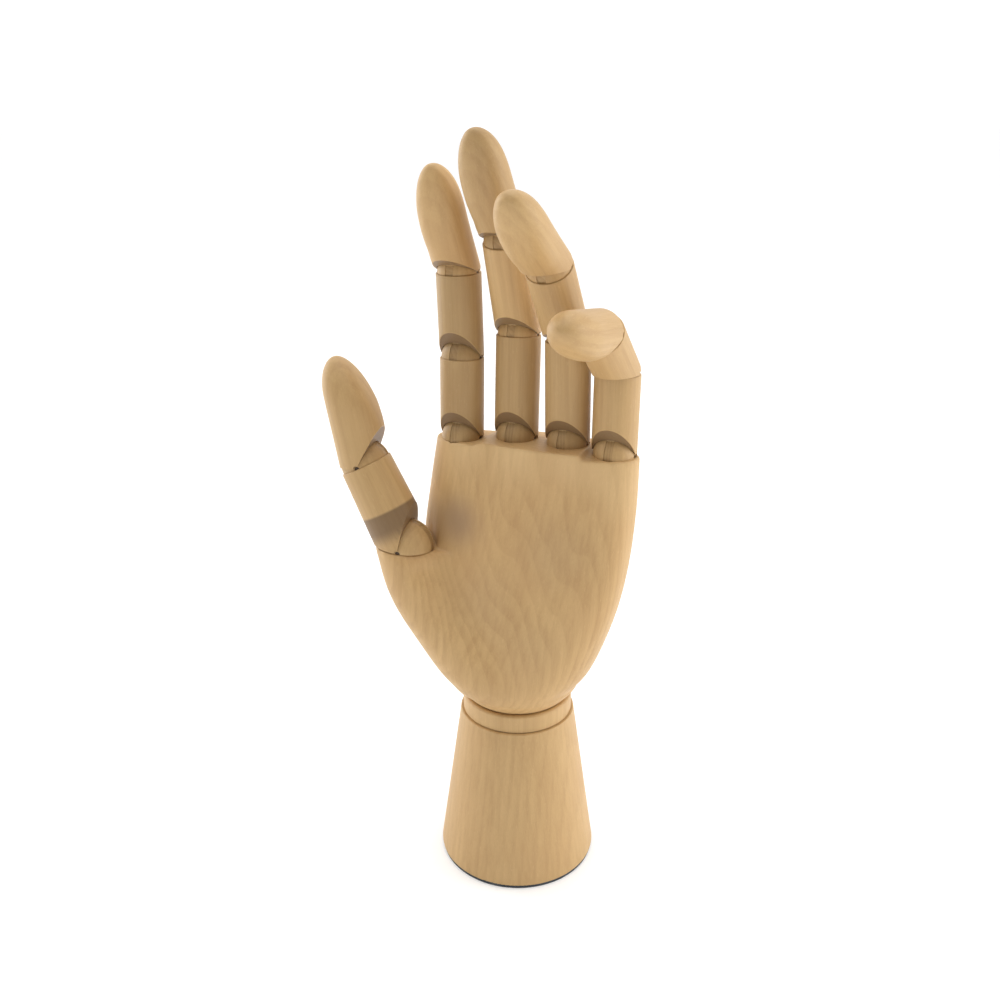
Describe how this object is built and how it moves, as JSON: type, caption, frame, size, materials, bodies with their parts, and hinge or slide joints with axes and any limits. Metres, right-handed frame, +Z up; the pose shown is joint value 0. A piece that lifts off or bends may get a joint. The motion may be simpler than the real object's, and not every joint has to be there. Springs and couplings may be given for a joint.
{
  "type": "artist mannequin hand",
  "caption": "Jointed wooden left hand on a turned conical base, fingers and thumb on pinned ball joints, wrist on a sprung ball.",
  "frame": {"origin": "centre of the underside of the foot pad, on the axis of the base", "axes": "+Z up along the base's axis, the palm faces -Y, the thumb is at -X and the little finger at +X"},
  "size_m": [0.1189, 0.0879, 0.2922],
  "materials": {
    "turned_wood": "satin",
    "carved_wood": "satin",
    "finger_wood": "satin",
    "ball_wood": "satin",
    "tongue_wood": "matte",
    "steel": "satin",
    "spring_steel": "satin",
    "foot_pad": "matte"
  },
  "bodies": {
    "base": {"base": "turned_wood", "foot_pad": "foot_pad"},
    "collar": {"collar": "turned_wood", "tension_rod": "steel", "tension_spring": "spring_steel"},
    "link": {"tension_link": "steel"},
    "palm": {"palm": "carved_wood", "palm_screw_eye": "steel", "knuckle_pins": "steel", "index_knuckle_ball": "ball_wood", "middle_knuckle_ball": "ball_wood", "ring_knuckle_ball": "ball_wood", "little_knuckle_ball": "ball_wood", "thumb_knuckle_ball": "ball_wood"},
    "index_proximal": {"index_proximal": "finger_wood", "index_knuckle_tongue": "tongue_wood", "index_middle_ball": "ball_wood", "index_middle_pin": "steel"},
    "index_middle": {"index_middle": "finger_wood", "index_middle_tongue": "tongue_wood", "index_tip_ball": "ball_wood", "index_tip_pin": "steel"},
    "index_distal": {"index_distal": "finger_wood", "index_tip_tongue": "tongue_wood"},
    "middle_proximal": {"middle_proximal": "finger_wood", "middle_knuckle_tongue": "tongue_wood", "middle_middle_ball": "ball_wood", "middle_middle_pin": "steel"},
    "middle_middle": {"middle_middle": "finger_wood", "middle_middle_tongue": "tongue_wood", "middle_tip_ball": "ball_wood", "middle_tip_pin": "steel"},
    "middle_distal": {"middle_distal": "finger_wood", "middle_tip_tongue": "tongue_wood"},
    "ring_proximal": {"ring_proximal": "finger_wood", "ring_knuckle_tongue": "tongue_wood", "ring_middle_ball": "ball_wood", "ring_middle_pin": "steel"},
    "ring_middle": {"ring_middle": "finger_wood", "ring_middle_tongue": "tongue_wood", "ring_tip_ball": "ball_wood", "ring_tip_pin": "steel"},
    "ring_distal": {"ring_distal": "finger_wood", "ring_tip_tongue": "tongue_wood"},
    "little_proximal": {"little_proximal": "finger_wood", "little_knuckle_tongue": "tongue_wood", "little_middle_ball": "ball_wood", "little_middle_pin": "steel"},
    "little_middle": {"little_middle": "finger_wood", "little_middle_tongue": "tongue_wood", "little_tip_ball": "ball_wood", "little_tip_pin": "steel"},
    "little_distal": {"little_distal": "finger_wood", "little_tip_tongue": "tongue_wood"},
    "thumb_proximal": {"thumb_proximal": "finger_wood", "thumb_knuckle_tongue": "tongue_wood", "thumb_tip_ball": "ball_wood", "thumb_tip_pin": "steel"},
    "thumb_distal": {"thumb_distal": "finger_wood", "thumb_tip_tongue": "tongue_wood"}
  },
  "joints": [
    {"name": "wrist_turn", "type": "hinge", "parent": "base", "child": "collar", "pos_m": [0, 0, 0.09689], "axis": [0, 0, 1], "continuous": true},
    {"name": "wrist_bend", "type": "hinge", "parent": "collar", "child": "link", "pos_m": [0, 0, 0.09689], "axis": [1, 0, 0], "range_deg": [-9, 9]},
    {"name": "wrist_side", "type": "hinge", "parent": "link", "child": "palm", "pos_m": [0, 0, 0.09689], "axis": [0, 1, 0], "range_deg": [-9, 9]},
    {"name": "index_knuckle_bend", "type": "hinge", "parent": "palm", "child": "index_proximal", "pos_m": [-0.0235, 0.0006, 0.1801], "axis": [1, 0, 0], "range_deg": [-1, 54.5]},
    {"name": "index_middle_bend", "type": "hinge", "parent": "index_proximal", "child": "index_middle", "pos_m": [-0.0235, 0.00168, 0.21098], "axis": [1, 0, 0], "range_deg": [-8, 47.5]},
    {"name": "index_tip_bend", "type": "hinge", "parent": "index_middle", "child": "index_distal", "pos_m": [-0.0235, 0.00001, 0.24274], "axis": [1, 0, 0], "range_deg": [-30, 25.5]},
    {"name": "middle_knuckle_bend", "type": "hinge", "parent": "palm", "child": "middle_proximal", "pos_m": [-0.0021, 0.0037, 0.1817], "axis": [1, 0, 0], "range_deg": [0, 55.5]},
    {"name": "middle_middle_bend", "type": "hinge", "parent": "middle_proximal", "child": "middle_middle", "pos_m": [-0.0021, 0.00573, 0.22045], "axis": [1, 0, 0], "range_deg": [-24, 31.5]},
    {"name": "middle_tip_bend", "type": "hinge", "parent": "middle_middle", "child": "middle_distal", "pos_m": [-0.0021, -0.00561, 0.25535], "axis": [1, 0, 0], "range_deg": [-23, 32.5]},
    {"name": "ring_knuckle_bend", "type": "hinge", "parent": "palm", "child": "ring_proximal", "pos_m": [0.0186, 0.0037, 0.1817], "axis": [1, 0, 0], "range_deg": [-5, 50.5]},
    {"name": "ring_middle_bend", "type": "hinge", "parent": "ring_proximal", "child": "ring_middle", "pos_m": [0.0186, 0.00235, 0.22048], "axis": [1, 0, 0], "range_deg": [-36, 19.5]},
    {"name": "ring_tip_bend", "type": "hinge", "parent": "ring_middle", "child": "ring_distal", "pos_m": [0.0186, -0.01733, 0.24857], "axis": [1, 0, 0], "range_deg": [-26, 29.5]},
    {"name": "little_knuckle_bend", "type": "hinge", "parent": "palm", "child": "little_proximal", "pos_m": [0.0371, 0.0024, 0.1799], "axis": [1, 0, 0], "range_deg": [-1, 54.5]},
    {"name": "little_middle_bend", "type": "hinge", "parent": "little_proximal", "child": "little_middle", "pos_m": [0.0371, 0.00345, 0.20998], "axis": [1, 0, 0], "range_deg": [-55, 0.5]},
    {"name": "little_tip_bend", "type": "hinge", "parent": "little_middle", "child": "little_distal", "pos_m": [0.0371, -0.01792, 0.22792], "axis": [1, 0, 0], "range_deg": [-35, 20.5]},
    {"name": "thumb_knuckle_bend", "type": "hinge", "parent": "palm", "child": "thumb_proximal", "pos_m": [-0.0396, -0.0177, 0.1386], "axis": [-0.1772, 0.9818, -0.0688], "range_deg": [-0.5, 4]},
    {"name": "thumb_tip_bend", "type": "hinge", "parent": "thumb_proximal", "child": "thumb_distal", "pos_m": [-0.05567, -0.01836, 0.17047], "axis": [-0.1772, 0.9818, -0.0688], "range_deg": [-17.7, 27]}
  ]
}
